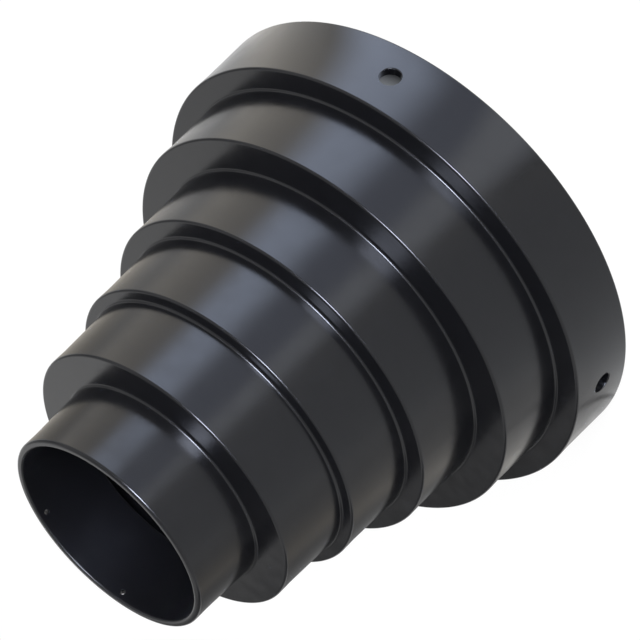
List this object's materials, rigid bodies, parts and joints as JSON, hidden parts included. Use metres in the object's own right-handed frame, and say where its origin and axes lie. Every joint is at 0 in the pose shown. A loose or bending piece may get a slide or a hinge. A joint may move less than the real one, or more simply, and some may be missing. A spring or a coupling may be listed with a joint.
{
  "type": "stepped duct reducer",
  "caption": "Black moulded plastic duct reducer: slightly tapered collars of falling diameter joined by flat shoulders, open right through, with screw holes in the wide end.",
  "frame": {"origin": "centre of the wide end's rim plane, which the part stands on", "axes": "+Z along the duct towards the narrow mouth; +X and +Y each pass through a screw hole"},
  "size_m": [0.1676, 0.1676, 0.15],
  "materials": {
    "black_plastic": "satin black moulded plastic"
  },
  "bodies": {
    "root": {"stepped_reducer": "black_plastic"}
  },
  "joints": []
}
